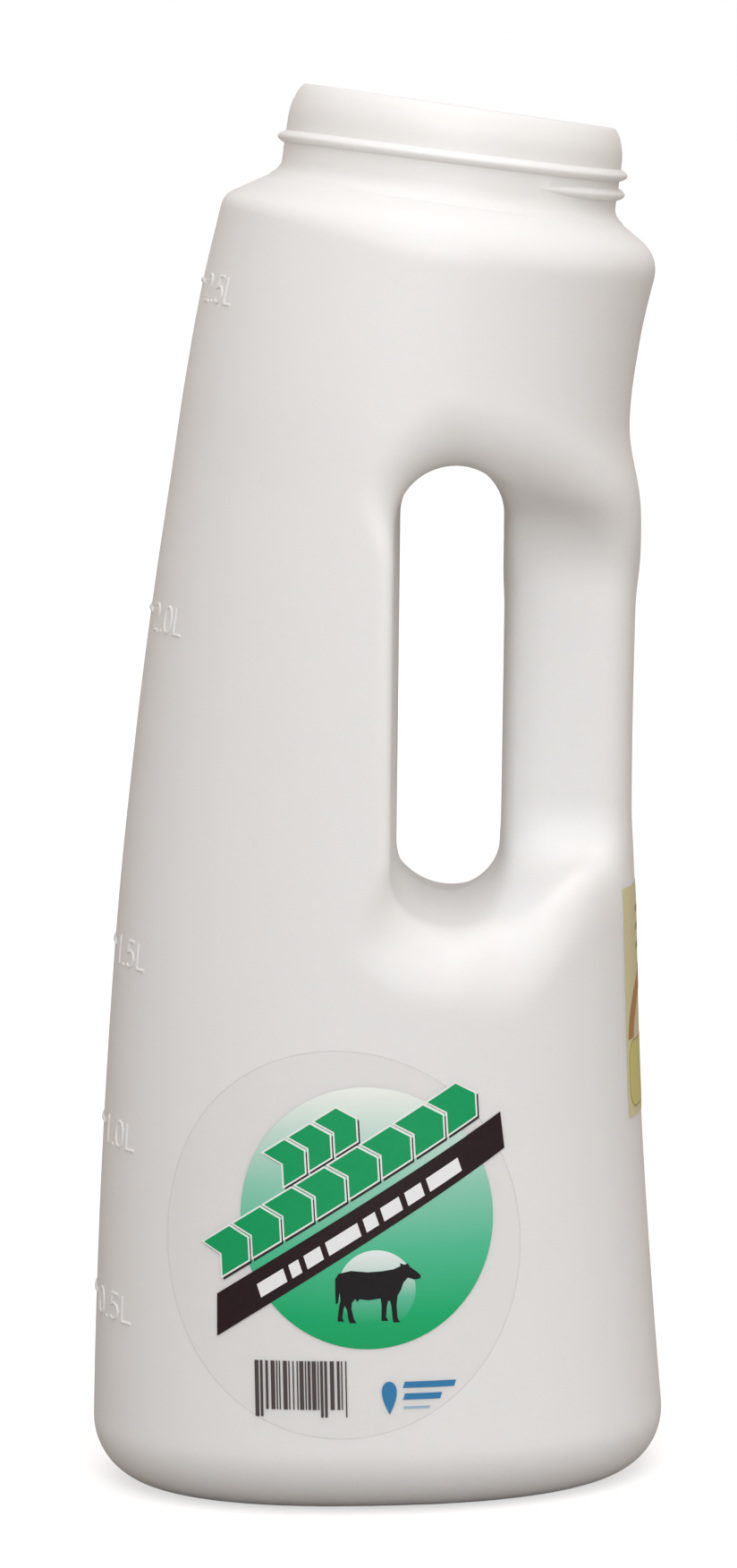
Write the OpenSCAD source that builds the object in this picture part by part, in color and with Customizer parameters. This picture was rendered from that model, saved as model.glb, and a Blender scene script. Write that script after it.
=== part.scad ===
// Graduated feeding and drench bottle for calves, about 2.5 litres.
// One blow-moulded shell with a hollow grip in its end, a leaning screw neck,
// raised graduation ticks, a clear printed film in front and a film on the grip end.
// X runs from the graduated end (-X) to the grip end (+X), the front faces -Y, Z is up.
// The origin is the middle of the flat base. Millimetres.

/* [Body] */
// Depth of the body at its base, front to back
base_depth = 111; // [106:1:116]
// Depth of the body at its shoulder, front to back
shoulder_depth = 103; // [98:1:106]
// Squareness of the body's section at the base, where 2 is an ellipse
base_power = 2.2; // [2:0.05:2.6]
// Wall thickness of the shell
wall = 1.8; // [1.4:0.1:2.2]
// Rounding between the walls and the base
base_round = 16; // [12:1:17]

/* [Neck] */
// Lean of the neck towards the grip end, in degrees
neck_tilt = 9.4; // [8.8:0.1:10]
// Outer radius of the neck under the thread
neck_r = 40.4; // [40:0.1:40.8]
// Radius of the open mouth, right through the neck
bore_r = 36.5; // [35.5:0.1:36.8]
// Length of the neck from the rim to the shoulder
neck_len = 21; // [20:0.5:22]
// Height of the thread above the neck
thread_h = 1.8; // [1.2:0.1:2]
// Rise of the thread in one turn
thread_pitch = 4.6; // [4:0.1:5]
// Length of the thread in turns
thread_turns = 1.45; // [1.2:0.05:1.6]

/* [Grip] */
// Radius of the round ends of the finger hole, at the parting plane
hole_r = 12.5; // [11.5:0.1:13]
// Height of the finger hole's lower round centre
hole_low = 155; // [152:1:158]
// Height of the finger hole's upper round centre
hole_high = 234; // [230:1:236]
// Draft of the hole's sides, in degrees
hole_draft = 2.2; // [1:0.1:3]
// Thickness of the grip, front to back
grip_depth = 37; // [32:1:42]

/* [Marks and labels] */
// Height of the raised graduation ticks above the wall
mark_h = 0.5; // [0.3:0.1:0.7]
// Radius of the round front film
front_label_r = 46.4; // [40:0.2:47]
// Height of the middle of the front film
front_label_z = 65.9; // [62:0.1:67]
// Width of the film on the grip end, measured front to back
side_label_w = 45; // [38:1:47]
// Height of the film on the grip end
side_label_h = 55.5; // [48:0.5:57]
// Thickness of both films
film = 0.2; // [0.15:0.05:0.25]

/* [Hidden] */

sides = 48;             // points round every section
eps = 0.02;             // air under the films
rim = [26.5, 331.7];      // middle of the rim, X and Z
mark_levels = [47.4, 89.2, 132.8, 213.2, 291.6];   // 0.5 to 2.5 litres, on the -X end
mark_w = 1.2;           // width of a tick
mark_run = 9;           // length of a tick round the wall, to each side
grip_reach = 17.6;      // half the width of the grip, grip end to hole
grip_power = 3;         // squareness of the grip's section
low_centre = [20.3, hole_low];      // centre of the finger hole's lower round end, X and Z
high_centre = [22.8, hole_high];    // centre of its upper round end
sill_at = [33, 139.4];  // a point of the hollow's sill: distance from the parting plane, and Z
sill_slope = 0.85;      // fall of the sill towards the front
sill_bend = 29;         // X where the sill begins to rise towards the grip end
sill_rise = 0.6;        // its slope there
sill_top = 151.5;       // Z where the sill meets the grip's faces
roof_at = [35, 241.5];  // a point of the hollow's roof: distance from the parting plane, and Z
roof_slope = 0.6;       // rise of the roof towards the front
roof_fall = 0.08;       // fall of the roof towards the grip end
hollow_round = 14;      // rounding inside the hollow

// The body's two end walls from the base to the shoulder corner:
// [X of the graduated end, its Z, X of the grip end, its Z]
ENDS = [
    [-69.9, 0, 70.9, 0],
    [-67.8, 45, 68.1, 45],
    [-64.7, 91, 66.1, 90],
    [-60.3, 139, 65.6, 135],
    [-54.9, 182, 65.9, 174],
    [-50.1, 214, 67, 205],
    [-44.6, 246, 68.3, 234],
    [-40.8, 268, 65.9, 254],
    [-36.3, 290, 68.7, 275],
    [-30.6, 311.8, 73.6, 294.4]
];
top_row = len(ENDS) - 1;
first_row_z = ENDS[1][1];

up = [sin(neck_tilt), cos(neck_tilt)];              // along the neck, in X and Z
out = [cos(neck_tilt), -sin(neck_tilt)];            // across the neck, in X and Z
// the rim's rounded outer edge: [radius below neck_r, distance below the rim]
RIM = [[0.1, 7.2], [0.9, 3.5], [1.9, 1.2], [3, 0]];

function lerp(a, b, t) = a + (b - a) * t;
function smooth(t) = let (c = max(0, min(1, t))) c * c * (3 - 2 * c);
function unit(v) = v / norm(v);
// |cos| or |sin| of a section's angle, squared off by the section's power
function squared(v, power) = sign(v) * pow(abs(v), 2 / power);

// A row before the first or after the last continues in a straight line
function row(i) =
    i < 0 ? 2 * ENDS[0] - ENDS[1] :
    i > top_row ? 2 * ENDS[top_row] - ENDS[top_row - 1] : ENDS[i];

// The two end walls at any place s between the rows, on a smooth curve through them
function ends_at(s) =
    let (i = min(floor(s), top_row - 1), f = s - i)
    let (a = row(i - 1), b = row(i), c = row(i + 1), d = row(i + 2))
    b + f / 2 * (c - a + f * (2 * a - 5 * b + 4 * c - d + f * (3 * (b - c) + d - a)));

// One section of the body at s, drawn in by inset and moved up its own normal by lift
function body_ring(s, inset, lift = 0) =
    let (e = ends_at(s), left = [e[0], e[1]], right = [e[2], e[3]])
    let (along = unit(right - left), mid = (left + right) / 2)
    let (half_x = norm(right - left) / 2 - inset)
    let (half_y = lerp(base_depth, shoulder_depth, s / top_row) / 2 - inset)
    let (power = lerp(base_power, 2, s / top_row))
    [for (k = [0 : sides - 1])
        let (x = half_x * squared(cos(360 * k / sides), power))
        [mid.x + x * along.x - lift * along.y,
         half_y * squared(sin(360 * k / sides), power),
         mid.y + x * along.y + lift * along.x]];

// A circle round the neck's axis, at a distance below the rim
function neck_ring(r, below) =
    [for (k = [0 : sides - 1])
        let (x = r * cos(360 * k / sides))
        [rim.x - below * up.x + x * out.x,
         r * sin(360 * k / sides),
         rim.y - below * up.y + x * out.y]];

// Sections round the foot, from the flat base up to the wall
function foot_rings(inset) =
    let (r = base_round - inset)
    [for (a = [0 : 18 : 72])
        let (z = inset + r * (1 - cos(a)))
        body_ring(z / first_row_z, inset + r * (1 - sin(a)))];

function wall_rings(inset) =
    let (low = base_round / first_row_z, high = top_row - 0.6)
    [for (i = [0 : 14]) body_ring(lerp(low, high, i / 14), inset)];

// Length of the shoulder's edge rounding at section point k:
// tight at the graduated end, wide in front and behind
function edge_round(k) =
    let (c = cos(360 * k / sides))
    c < 0 ? lerp(8, 2.2, smooth(-c)) : lerp(8, 6, c);

// Sections over the shoulder's rounded edge, bent between the wall and the neck's root
function shoulder_rings(inset, root) =
    let (corner = body_ring(top_row, inset, -inset), below = body_ring(top_row - 0.6, inset))
    [for (q = [0 : 0.25 : 1])
        [for (k = [0 : sides - 1])
            let (c = corner[k], r = edge_round(k))
            let (low = c - r * unit(c - below[k]), in = c + r * unit(root[k] - c))
            lerp(lerp(low, c, q), lerp(c, in, q), q)]];

// A closed solid over a stack of sections with the same number of points
module skin(rings) {
    n = len(rings[0]);
    last = len(rings) - 1;
    polyhedron(
        points = [for (ring = rings) each ring],
        faces = concat(
            [[for (k = [0 : n - 1]) k]],
            [for (i = [0 : last - 1], k = [0 : n - 1])
                let (a = i * n + k, b = i * n + (k + 1) % n)
                each [[a, a + n, b + n], [a, b + n, b]]],
            [[for (k = [n - 1 : -1 : 0]) last * n + k]]),
        convexity = 6);
}

// The outside of the bottle with no thread or grip, drawn in by inset, up to the rim
module outer_form(inset = 0) {
    root = neck_ring(neck_r - inset, neck_len + inset);
    neck = [for (step = RIM) neck_ring(neck_r - inset - step[0], step[1])];
    skin(concat(foot_rings(inset), wall_rings(inset), shoulder_rings(inset, root), [root], neck));
}

// The space inside, and a way out through the neck that is narrower than the mouth
module inner_form() {
    way_r = bore_r - 2;
    root = neck_ring(way_r, neck_len + wall);
    skin(concat(foot_rings(wall), wall_rings(wall), shoulder_rings(wall, root),
                [root, neck_ring(way_r, -5)]));
}

// The thread: one ridge that winds round the neck and fades out at both ends
module thread() {
    steps = floor(thread_turns * sides);
    fade = 5;
    lowest = 16.4;
    sunk = 0.6;
    start = 38.5;       // section point where it begins, in front
    skin([for (i = [0 : steps])
        let (a = 360 * (start + i) / sides, below = lowest - thread_pitch * i / sides)
        let (grown = smooth(min(i, steps - i) / fade), crest = neck_r + thread_h * grown)
        let (foot = neck_r - sunk, half = 0.5 + 1.2 * grown)
        [for (p = [[foot, -half], [crest, -0.25], [crest, 0.25], [foot, half]])
            let (x = p[0] * cos(a), drop = below + p[1])
            [rim.x - drop * up.x + x * out.x, p[0] * sin(a), rim.y - drop * up.y + x * out.y]]]);
}

// Outline of the finger hole, grown by grow, at a distance y from the parting plane
function hole_outline(grow, y) =
    let (r = hole_r + grow, low = low_centre - [0, 0.04 * abs(y)])
    [for (side = [1, 0], a = [180 : -15 : 0])
        let (c = side == 0 ? high_centre : low)
        [c.x + r * cos(a + 180 * side), y, c.y + r * sin(a + 180 * side)]];

// The finger hole: drafted from the parting plane and rounded over at both faces
module finger_hole(grow = 0) {
    lip = 3.5;
    straight = base_depth / 2 - 2 * lip;
    past = base_depth / 2 + 2;
    depths = [for (y = [0, straight]) [y, 0],
              for (a = [30, 60, 80]) [straight + lip * sin(a), lip * (1 - cos(a))],
              [past, lip]];
    half = [for (d = depths) hole_outline(grow + d[0] * tan(hole_draft) + d[1], d[0])];
    for (flip = [0, 1])
        mirror([0, flip, 0])
            skin(half);
}

// Half the thickness left at X, Z beside the hole: the grip, or as far out as the hollow's
// sill below it and its roof above it, up to the full body
function grip_half(x, z) =
    let (mid = lerp(49.2, 52.2, (z - hole_low) / (hole_high - hole_low)))
    let (reach = min(1, abs(x - mid) / grip_reach))
    let (grip = grip_depth / 2 * pow(1 - pow(reach, grip_power), 1 / grip_power))
    let (slope = lerp(0.08, sill_slope, smooth((x - low_centre.x) / 22)))
    let (past = x - sill_bend, rise = sill_rise / 2 * (past + norm([past, 8])))
    let (sill = sill_at[0] + (sill_at[1] + rise - z) / slope)
    let (low_sill = min(sill, grip_depth / 2 + 8 * (sill_top - z)))
    let (roof = roof_at[0] + (z - roof_at[1] + roof_fall * (x - 35)) / roof_slope)
    min(base_depth / 2 + 8, blended(grip, blended(low_sill, roof)));

// The greater of two values, rounded over where they are about the same
function blended(a, b) =
    let (near = max(0, hollow_round - abs(a - b)) / hollow_round)
    max(a, b) + hollow_round * near * near / 4;

// What is cut away in front of the grip and behind it
module grip_recess(grow = 0) {
    deep = base_depth / 2 + 12;
    xs = [17 : 4.75 : 74];
    for (flip = [0, 1])
        mirror([0, flip, 0])
            skin([for (z = [112 : 6 : 274])
                concat([for (x = xs) [x, grip_half(x, z) - grow, z]], [[74, deep, z], [17, deep, z]])]);
}

// Raised ticks across the graduated end, one for each half litre
module ticks() {
    intersection() {
        outer_form(-mark_h);
        for (z = mark_levels)
            translate([-90, -mark_run, z - mark_w / 2])
                cube([60, 2 * mark_run, mark_w]);
    }
}

// The blown shell with its ticks, as one solid
module shell() {
    difference() {
        union() {
            difference() {
                outer_form();
                finger_hole();
                grip_recess();
            }
            ticks();
        }
        difference() {
            inner_form();
            finger_hole(wall);
            grip_recess(1.25 * wall);
        }
    }
}

module bottle() {
    color([0.92, 0.92, 0.93])
        difference() {
            union() {
                resize([0, 0, 0])
                    shell();
                thread();
            }
            translate([rim.x, 0, rim.y])
                rotate([0, neck_tilt, 0])
                    translate([0, 0, -neck_len - 5])
                        cylinder(r = bore_r, h = neck_len + 15, $fn = 96);
        }
}

// A thin film that lies on the wall, cut to the shape of its children
module film_on_wall() {
    resize([0, 0, 0])
        intersection() {
            difference() {
                outer_form(-eps - film);
                outer_form(-eps);
            }
            children();
        }
}

module front_label() {
    color([0.15, 0.66, 0.45])
        film_on_wall()
            translate([-6.9, 0, front_label_z])
                rotate([90, 0, 0])
                    scale([0.905, 1, 1])
                        cylinder(r = front_label_r, h = base_depth, $fn = 64);
}

module side_label() {
    color([0.93, 0.92, 0.62])
        film_on_wall()
            translate([30, -side_label_w / 2, 89])
                cube([60, side_label_w, side_label_h]);
}

bottle();
front_label();
side_label();
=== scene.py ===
"""A graduated feeding and drench bottle for calves, built in mesh code.

The bottle is one blow-moulded shell. Its outside is the zero surface of a field in millimetres,
and its neck, thread, ticks and numerals are solids joined to it. The two films are thin printed
layers that lie on the wall. X runs from the graduated end to the grip end, the front faces -Y,
and Z is up. Sizes are in millimetres until a mesh is made.
"""
import math

import bpy
import numpy as np
from mathutils import Matrix, Vector
from mathutils.geometry import delaunay_2d_cdt

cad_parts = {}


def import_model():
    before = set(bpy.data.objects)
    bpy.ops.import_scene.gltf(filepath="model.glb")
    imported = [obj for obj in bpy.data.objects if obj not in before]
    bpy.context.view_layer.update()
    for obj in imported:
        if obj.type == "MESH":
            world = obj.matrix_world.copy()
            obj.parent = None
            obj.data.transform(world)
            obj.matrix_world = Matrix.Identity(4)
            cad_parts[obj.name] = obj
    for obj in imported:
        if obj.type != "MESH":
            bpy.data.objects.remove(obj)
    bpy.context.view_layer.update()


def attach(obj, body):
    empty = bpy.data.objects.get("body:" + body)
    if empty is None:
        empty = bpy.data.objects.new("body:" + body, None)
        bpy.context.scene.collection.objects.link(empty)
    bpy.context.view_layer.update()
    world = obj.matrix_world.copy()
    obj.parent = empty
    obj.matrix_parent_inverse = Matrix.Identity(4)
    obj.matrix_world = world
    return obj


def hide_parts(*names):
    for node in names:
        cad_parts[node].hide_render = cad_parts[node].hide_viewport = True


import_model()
MM = 0.001

# ---------------------------------------------------------------- the body's form

# The body's two end walls from the base to the shoulder corner:
# X of the graduated end, its Z, X of the grip end, its Z
ENDS = np.array([
    [-69.9, 0, 70.9, 0], [-67.8, 45, 68.1, 45], [-64.7, 91, 66.1, 90], [-60.3, 139, 65.6, 135],
    [-54.9, 182, 65.9, 174], [-50.1, 214, 67, 205], [-44.6, 246, 68.3, 234],
    [-40.8, 268, 65.9, 254], [-36.3, 290, 68.7, 275], [-30.6, 311.8, 73.6, 294.4]])
TOP_ROW = len(ENDS) - 1
# The same rows with one more beyond each end, for the curve's slope there
ROWS = np.vstack([2 * ENDS[0] - ENDS[1], ENDS, 2 * ENDS[-1] - ENDS[-2]])
BASE_DEPTH, SHOULDER_DEPTH = 111.0, 103.0
# Squareness of the body's section, where 2 is an ellipse
BASE_POWER, SHOULDER_POWER = 2.2, 2.0
WALL = 1.8
FOOT_ROUND = 16.0
# The base's dish: its depth, the share of the section's reach where it starts, and its slope's run
DISH_DEPTH, DISH_START, DISH_RUN = 2.2, 0.8, 0.16

# The neck: its tilt, outer and inner radius, length, and the middle of its rim
NECK_TILT = math.radians(9.4)
NECK_R, BORE_R, NECK_LEN = 40.4, 36.5, 21.0
RIM = np.array([26.5, 0, 331.7])
# Directions along the neck, across it towards the grip end, and across it towards the back
UP = np.array([math.sin(NECK_TILT), 0, math.cos(NECK_TILT)])
OUT = np.array([math.cos(NECK_TILT), 0, -math.sin(NECK_TILT)])
BACK = np.array([0, 1.0, 0])
# The shoulder: half length and half depth of its outer edge, its fall from the neck to there,
# and nearly the cosine of its slope
SHOULDER_X, SHOULDER_Y, SHOULDER_FALL, SHOULDER_COSINE = 52.8, 51.5, 7.7, 0.89

# The finger hole: its radius, its draft, X and Z of its two round ends' middles, and its lean
HOLE_R, HOLE_DRAFT = 12.5, math.tan(math.radians(2.2))
HOLE_LOW, HOLE_HIGH = (20.3, 155.0), (22.8, 234.0)
HOLE_LEAN = (HOLE_HIGH[0] - HOLE_LOW[0]) / (HOLE_HIGH[1] - HOLE_LOW[1])
# The grip: half its thickness, half its width, its section's squareness, and its middle's X
# beside the hole's low and high end
GRIP_HALF, GRIP_REACH, GRIP_POWER = 18.5, 17.6, 3.0
GRIP_X_LOW, GRIP_X_HIGH = 49.2, 52.2
# The sill under the grip: its height at the hole, the X of the bend where it starts to climb and
# the bend's size, half its slope past there, its top, and the distance from the parting plane
# that these heights are for
SILL_Z, SILL_BEND, SILL_BEND_SIZE, SILL_CLIMB, SILL_TOP, SILL_AWAY = 139.4, 29, 8, 0.3, 151.5, 33
# How steeply the sill falls towards the faces, at the hole and at the grip
SILL_STEEP_HOLE, SILL_STEEP_GRIP = 0.08, 0.85
# The roof over the grip: its height where X and the distance from the parting plane are both
# ROOF_AT, and its slopes along them
ROOF_Z, ROOF_AT, ROOF_FALL, ROOF_STEEP = 241.5, 35, 0.08, 0.6
# How far inside the hole's edge the hollow ends, and its rounding at the corners, where it meets
# the grip, and at the sill's top
HOLLOW_MARGIN, HOLLOW_ROUND, GRIP_ROUND, SILL_ROUND = 5.0, 13.0, 10.5, 9.0


def lerp(a, b, t):
    return a + (b - a) * t


def smooth(v):
    """A smooth step from 0 to 1."""
    c = np.clip(v, 0, 1)
    return c * c * (3 - 2 * c)


def ends_at(s):
    """X, Z of both end walls at s, on a smooth curve through the rows."""
    s = np.asarray(s, float)
    i = np.clip(np.floor(s), 0, TOP_ROW - 1).astype(int)
    f = (s - i)[..., None]
    a, b, c, d = ROWS[i], ROWS[i + 1], ROWS[i + 2], ROWS[i + 3]
    return b + f / 2 * (c - a + f * (2 * a - 5 * b + 4 * c - d + f * (3 * (b - c) + d - a)))


def above(s, x, z):
    """How far X, Z is above section s, times the section's length."""
    e = ends_at(s)
    return (e[..., 2] - e[..., 0]) * (z - e[..., 1]) - (e[..., 3] - e[..., 1]) * (x - e[..., 0])


def section_of(x, z):
    """The section s that holds X, Z: a guess between the straight rows, then Newton's steps."""
    x, z = np.broadcast_arrays(np.asarray(x, float), np.asarray(z, float))
    s = np.full(x.shape, -1.0)
    heights = [r[1] + (x - r[0]) * (r[3] - r[1]) / (r[2] - r[0]) for r in ROWS]
    for low, high in zip(heights, heights[1:]):
        s += np.clip((z - low) / (high - low), 0, 1)
    h = 0.01
    for _ in range(2):
        slope = (above(s + h, x, z) - above(s - h, x, z)) / (2 * h)
        s = s - np.clip(above(s, x, z) / slope, -0.5, 0.5)
    return s


def section_shape(s):
    """Middle X, middle Z, unit X, unit Z along the section, half length, half depth, power."""
    e = ends_at(s)
    dx, dz = e[..., 2] - e[..., 0], e[..., 3] - e[..., 1]
    length = np.hypot(dx, dz)
    t = s / TOP_ROW
    return ((e[..., 0] + e[..., 2]) / 2, (e[..., 1] + e[..., 3]) / 2, dx / length, dz / length,
            length / 2, lerp(BASE_DEPTH, SHOULDER_DEPTH, t) / 2,
            lerp(BASE_POWER, SHOULDER_POWER, t))


def smax(a, b, k):
    """The larger of two fields, rounded where they are within k of each other."""
    h = np.maximum(k - np.abs(a - b), 0) / k
    return np.maximum(a, b) + h * h * k / 4


def smin(a, b, k):
    return -smax(-a, -b, k)


def round_min(a, b, r):
    """The smaller of two distances, with a corner of radius r where both are small."""
    return np.where((a < r) & (b < r), r - np.hypot(r - a, r - b), np.minimum(a, b))


def oval_field(u, y, half_x, half_y, power):
    """The share of an oval's reach at u, y, and millimetres outside it."""
    px, py = np.abs(u) / half_x, np.abs(y) / half_y
    n = np.maximum((px ** power + py ** power) ** (1 / power), 1e-4)
    slope = np.hypot((px / n) ** (power - 1) / half_x, (py / n) ** (power - 1) / half_y)
    return n, (n - 1) / slope


def grip_field(x, y, z):
    """Millimetres outside the upright bar that is the grip."""
    middle = lerp(GRIP_X_LOW, GRIP_X_HIGH, (z - HOLE_LOW[1]) / (HOLE_HIGH[1] - HOLE_LOW[1]))
    return oval_field(x - middle, y, GRIP_REACH, GRIP_HALF, GRIP_POWER)[1]


def hollow_field(x, y, z):
    """Millimetres inside the hollow round the finger hole, which the grip stands in."""
    away = np.abs(y)
    past = x - SILL_BEND
    rise = SILL_Z + SILL_CLIMB * (past + np.hypot(past, SILL_BEND_SIZE))
    steep = lerp(SILL_STEEP_HOLE, SILL_STEEP_GRIP, smooth((x - 20) / 22))
    level = smin(rise - steep * (away - SILL_AWAY), SILL_TOP, SILL_ROUND)
    sill = (z - level) / np.sqrt(1.2 + steep ** 2)
    ceiling = ROOF_Z - ROOF_FALL * (x - ROOF_AT) + ROOF_STEEP * (away - ROOF_AT)
    roof = (ceiling - z) / 1.17
    hole_edge = HOLE_LOW[0] + HOLE_LEAN * (z - HOLE_LOW[1]) - HOLE_R - HOLE_DRAFT * away
    side = x - hole_edge - HOLLOW_MARGIN
    air = round_min(round_min(side, sill, HOLLOW_ROUND), roof, HOLLOW_ROUND)
    return smin(air, grip_field(x, y, z), GRIP_ROUND)


def hole_field(x, y, z):
    """Millimetres inside the finger hole, which widens from the parting plane to both faces."""
    ax, az = HOLE_LOW
    bx, bz = HOLE_HIGH
    low_z = az - 0.04 * np.abs(y)
    t = np.clip(((x - ax) * (bx - ax) + (z - low_z) * (bz - low_z))
                / ((bx - ax) ** 2 + (bz - low_z) ** 2), 0, 1)
    away = np.hypot(x - ax - t * (bx - ax), z - low_z - t * (bz - low_z))
    return HOLE_R + HOLE_DRAFT * np.abs(y) - away


def foot_field(x, y, z):
    """Millimetres outside the body's walls, its round foot and its dished base."""
    mx, mz, ux, uz, half_x, half_y, power = section_shape(section_of(x, z))
    u = (x - mx) * ux + (z - mz) * uz
    n, wall = oval_field(u, y, half_x, half_y, power)
    base = DISH_DEPTH * smooth((DISH_START - n) / DISH_RUN) - z
    r = FOOT_ROUND
    corner = np.hypot(np.maximum(wall + r, 0), np.maximum(base + r, 0)) - r
    return np.where((wall > -r) & (base > -r), corner, np.maximum(wall, base))


def hole_edge_round(x, z):
    """Rounding where the hollow meets the walls: tight beside the hole, wide below and over it."""
    below, over = smooth((157 - z) / 24), smooth((z - 224) / 24)
    beside = lerp(2.5, 5.5, smooth((x - 30) / 20))
    under = lerp(17.0, 11.0, smooth((x - 22) / 20))
    return beside * (1 - below) * (1 - over) + under * below + 11.0 * over


def shoulder_field(x, y, z):
    """Millimetres above the shoulder, a low cone up to the neck, and its edge's rounding."""
    rx, rz = x - RIM[0], z - RIM[2]
    height = rx * UP[0] + rz * UP[2] + NECK_LEN
    across = rx * OUT[0] + rz * OUT[2]
    radius = np.hypot(across, y)
    facing = across / np.maximum(radius, 1e-6)          # 1 at the grip end, -1 at the other
    cos2 = facing ** 2
    edge = (SHOULDER_X * SHOULDER_Y
            / np.sqrt(SHOULDER_Y ** 2 * cos2 + SHOULDER_X ** 2 * (1 - cos2)))
    cone = SHOULDER_FALL * np.minimum((edge - radius) / (edge - NECK_R), 1) - SHOULDER_FALL
    rounding = np.where(facing < 0, lerp(7.0, 2.0, smooth(-facing)),
                        lerp(7.0, 5.4, np.abs(facing)))
    return (height - cone) * SHOULDER_COSINE, rounding


def body_field(x, y, z, inset=0.0):
    """Millimetres outside the body, less than nought inside it, with no neck."""
    air = smax(hollow_field(x, y, z), hole_field(x, y, z), 3.0)
    field = smax(foot_field(x, y, z), air, hole_edge_round(x, z))
    return smax(field, *shoulder_field(x, y, z)) + inset


# ---------------------------------------------------------------- meshing

FIELD_BOX = (-76, -62, -6), (84, 62, 322)


def surface_net(values, origin, step):
    """Vertices and quads of the zero surface of values on a grid."""
    cells = tuple(n - 1 for n in values.shape)
    places, keys, quads = [], [], []
    for axis in range(3):
        first, second = [slice(None)] * 3, [slice(None)] * 3
        first[axis], second[axis] = slice(0, -1), slice(1, None)
        va, vb = values[tuple(first)], values[tuple(second)]
        crossing = (va < 0) != (vb < 0)
        at = np.argwhere(crossing)
        va, vb = va[crossing], vb[crossing]
        place = at.astype(float)
        place[:, axis] += va / (va - vb)
        u, v = (axis + 1) % 3, (axis + 2) % 3
        ring = []
        for du, dv in ((1, 1), (0, 1), (0, 0), (1, 0)):
            cell = at.copy()
            cell[:, u] -= du
            cell[:, v] -= dv
            key = np.ravel_multi_index(cell.T, cells)
            ring.append(key)
            keys.append(key)
            places.append(place)
        quad = np.stack(ring, 1)
        quad[va > 0] = quad[va > 0][:, ::-1]
        quads.append(quad)
    keys, places, quads = np.concatenate(keys), np.concatenate(places), np.concatenate(quads)
    found, index = np.unique(keys, return_inverse=True)
    count = np.bincount(index)
    vertices = np.stack([np.bincount(index, places[:, c]) / count for c in range(3)], 1)
    return origin + step * vertices, np.searchsorted(found, quads)


def project(points, field, limit, rounds=3):
    """Points moved on to the zero surface of a field."""
    h = 0.15
    for _ in range(rounds):
        x, y, z = points.T
        value = field(x, y, z)
        slope = np.stack([field(x + h, y, z) - field(x - h, y, z),
                          field(x, y + h, z) - field(x, y - h, z),
                          field(x, y, z + h) - field(x, y, z - h)], 1) / (2 * h)
        steep = np.maximum((slope ** 2).sum(1), 0.05)
        move = -(value / steep)[:, None] * slope
        length = np.linalg.norm(move, axis=1, keepdims=True)
        points = points + move * np.minimum(1, limit / np.maximum(length, 1e-9))
    return points


def relaxed(points, quads, share=0.5):
    """Points moved towards the middle of their neighbours along the quads' edges."""
    total, count = np.zeros_like(points), np.zeros(len(points))
    for a, b in ((0, 1), (1, 2), (2, 3), (3, 0)):
        for p, q in ((quads[:, a], quads[:, b]), (quads[:, b], quads[:, a])):
            for c in range(3):
                total[:, c] += np.bincount(p, points[q, c], len(points))
            count += np.bincount(p, minlength=len(points))
    return lerp(points, total / count[:, None], share)


def field_mesh(field, step):
    """Points and quads of a field's zero surface inside FIELD_BOX."""
    low, high = FIELD_BOX
    axes = [np.arange(a, b + step, step) for a, b in zip(low, high)]
    x, y, z = np.meshgrid(*axes, indexing="ij", sparse=True)
    points, quads = surface_net(field(x, y, z), np.array(low, float), step)
    for _ in range(3):
        points = project(relaxed(points, quads), field, step, 1)
    return project(points, field, step / 2, 2), quads


def mesh_object(name, points, faces, material=None):
    """A new object from points in millimetres."""
    mesh = bpy.data.meshes.new(name)
    mesh.from_pydata((np.asarray(points) * MM).tolist(), [], [list(map(int, f)) for f in faces])
    mesh.update()
    obj = bpy.data.objects.new(name, mesh)
    bpy.context.scene.collection.objects.link(obj)
    if material:
        mesh.materials.append(material)
    return obj


def skin(rings, closed=True):
    """Points and faces of a closed solid over rings that have the same number of points."""
    rings = np.asarray(rings, float)
    count, n = rings.shape[:2]
    faces = []
    for i in range(count - 1):
        for k in range(n):
            a, b = i * n + k, i * n + (k + 1) % n
            faces.append([a, b, b + n, a + n])
    if closed:
        faces.append(list(range(n))[::-1])
        faces.append([(count - 1) * n + k for k in range(n)])
    return rings.reshape(-1, 3), faces


def merged(parts):
    """Several (points, faces) as one."""
    points, faces, base = [], [], 0
    for p, f in parts:
        points.append(np.asarray(p, float))
        faces += [[i + base for i in face] for face in f]
        base += len(p)
    return np.vstack(points), faces


def combine(obj, other, operation):
    """obj joined with or cut by other, which is removed."""
    modifier = obj.modifiers.new("combine", "BOOLEAN")
    modifier.operation, modifier.solver, modifier.object = operation, "MANIFOLD", other
    depsgraph = bpy.context.evaluated_depsgraph_get()
    mesh = bpy.data.meshes.new_from_object(obj.evaluated_get(depsgraph))
    obj.modifiers.clear()
    old, obj.data = obj.data, mesh
    bpy.data.meshes.remove(old)
    remove(other)
    return obj


def remove(obj):
    mesh = obj.data
    bpy.data.objects.remove(obj)
    bpy.data.meshes.remove(mesh)


# ---------------------------------------------------------------- neck

NECK_SEGMENTS = 192


def neck_point(r, below, angle):
    return RIM - below * UP + r * math.cos(angle) * OUT + r * math.sin(angle) * BACK


def turned(profile):
    """A solid turned round the neck's axis, from a profile of (radius, distance below the rim)."""
    return skin([[neck_point(r, below, 2 * math.pi * k / NECK_SEGMENTS)
                  for k in range(NECK_SEGMENTS)] for r, below in profile])


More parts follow.
